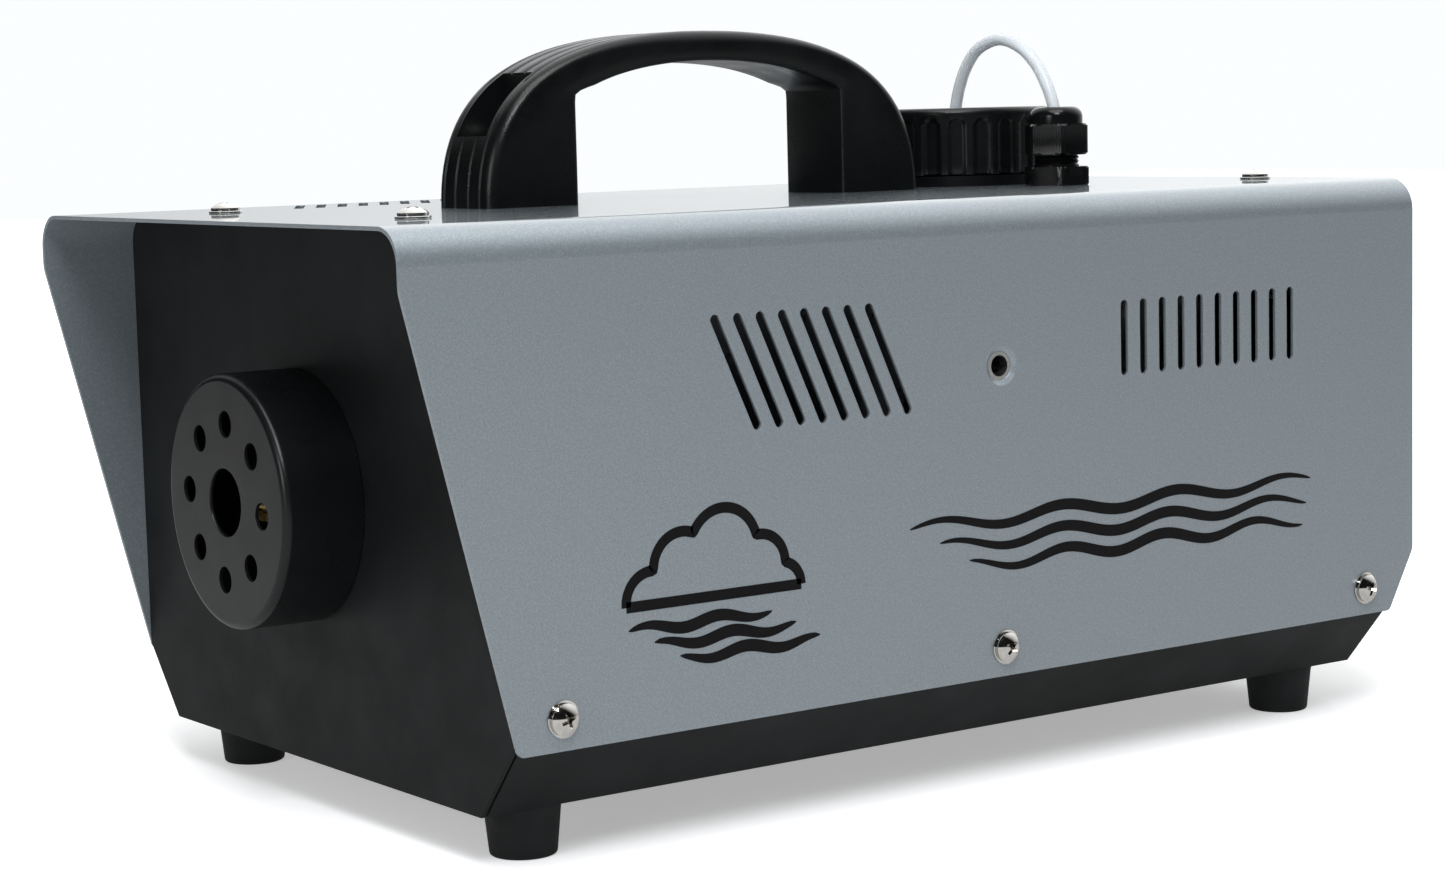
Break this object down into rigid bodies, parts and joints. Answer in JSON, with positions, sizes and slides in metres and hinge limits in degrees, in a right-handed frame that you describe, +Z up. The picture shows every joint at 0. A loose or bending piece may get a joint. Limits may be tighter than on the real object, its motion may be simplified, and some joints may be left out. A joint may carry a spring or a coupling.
{
  "type": "fog machine",
  "caption": "Stage fog machine: grey vented steel cover on a black tray, nozzle shroud, carrying handle, screw-cap fluid tank with hose, pump and heater inside.",
  "frame": {"origin": "on the standing surface under the middle of the case's box", "axes": "+Z up, -Y the way the fog leaves, +X the side with the mains inlet"},
  "size_m": [0.249, 0.408, 0.2456],
  "materials": {
    "cover_paint": "satin silver-grey metallic paint",
    "black_paint": "fine-textured matte black paint",
    "shroud_paint": "satin black paint",
    "zinc_sheet": "galvanised sheet",
    "nickel_screw": "bright nickel plate",
    "zinc_steel": "zinc-plated steel",
    "abs_black": "satin moulded ABS",
    "nylon_black": "glossy moulded nylon",
    "foot_rubber": "matte moulded rubber",
    "tank_poly": "translucent natural polyethylene",
    "clear_hose": "clear vinyl tube",
    "clear_window": "clear acrylic",
    "liner_foam": "closed-cell polyethylene",
    "brass": "machined brass",
    "cast_alloy": "as-cast aluminium",
    "heat_lagging": "woven glass-fibre lagging",
    "copper_pipe": "drawn copper",
    "coil_resin": "moulded resin",
    "ceramic_body": "unglazed ceramic",
    "silicone_red": "silicone wire sleeve",
    "pvc_brown": "PVC wire sleeve",
    "board_green": "solder-masked board",
    "relay_blue": "moulded relay case",
    "core_steel": "lacquered core",
    "terminal_green": "moulded terminal strip",
    "switch_red": "glossy rocker",
    "mesh_bronze": "sintered bronze"
  },
  "bodies": {
    "root": {"top_cover": "cover_paint", "chassis_tray": "black_paint", "front_plate": "black_paint", "rear_plate": "black_paint", "bulkhead": "zinc_sheet", "nozzle_shroud": "shroud_paint", "nozzle_tip": "brass", "carry_handle": "abs_black", "long_screws": "zinc_steel", "top_screws": "nickel_screw", "side_screws": "nickel_screw", "hex_nuts": "zinc_steel", "hanging_nuts": "zinc_steel", "foot_front_left": "foot_rubber", "foot_front_right": "foot_rubber", "foot_rear_left": "foot_rubber", "foot_rear_right": "foot_rubber", "fluid_tank": "tank_poly", "tank_neck": "tank_poly", "tank_strap": "zinc_sheet", "neck_ring": "abs_black", "intake_hose": "clear_hose", "intake_strainer": "mesh_bronze", "gland_body": "nylon_black", "gland_nut": "nylon_black", "gland_seal": "foot_rubber", "gland_locknut": "nylon_black", "level_window": "clear_window", "pump_coil": "coil_resin", "pump_yoke": "zinc_steel", "pump_body": "brass", "pump_spring": "zinc_steel", "pump_cradle": "black_paint", "pump_grommets": "foot_rubber", "delivery_pipe": "copper_pipe", "heater_inlet": "brass", "heater_block": "cast_alloy", "heater_rods": "zinc_steel", "heater_lagging": "heat_lagging", "heater_shield": "zinc_sheet", "heater_brackets": "zinc_sheet", "thermostats": "ceramic_body", "heater_wires": "silicone_red", "control_board": "board_green", "board_standoffs": "liner_foam", "board_relay": "relay_blue", "board_transformer": "core_steel", "terminal_block": "terminal_green", "mains_wires": "pvc_brown", "iec_inlet": "nylon_black", "iec_pins": "nickel_screw", "inlet_screws": "zinc_steel", "switch_housing": "nylon_black", "fuse_holder": "nylon_black", "remote_socket": "zinc_steel"},
    "cap_liner": {"cap_liner": "liner_foam"},
    "cap": {"tank_cap": "abs_black"},
    "rocker": {"switch_rocker": "switch_red"},
    "fuse_cap": {"fuse_cap": "nylon_black"},
    "piston": {"pump_piston": "zinc_steel"}
  },
  "joints": [
    {"name": "cap_rise", "type": "slide", "parent": "root", "child": "cap_liner", "axis": [0, 0, 1], "range_m": [0, 0.006]},
    {"name": "cap_turn", "type": "hinge", "parent": "cap_liner", "child": "cap", "pos_m": [-0.02, 0.1125, 0.205], "axis": [0, 0, 1], "range_deg": [0, 540]},
    {"name": "rocker_tilt", "type": "hinge", "parent": "root", "child": "rocker", "pos_m": [0.076, 0.192, 0.098], "axis": [0, 0, 1], "range_deg": [-22, 0]},
    {"name": "fuse_turn", "type": "hinge", "parent": "root", "child": "fuse_cap", "pos_m": [0.076, 0.193, 0.126], "axis": [0, 1, 0], "range_deg": [-90, 0]},
    {"name": "pump_stroke", "type": "slide", "parent": "root", "child": "piston", "axis": [0, 1, 0], "range_m": [0, 0.003], "stiffness_N_per_m": 300, "deforming": ["pump_spring"]}
  ],
  "couplings": [
    {"joint": "cap_rise", "follows": "cap_turn", "m_per_rad": 0.00063662}
  ]
}
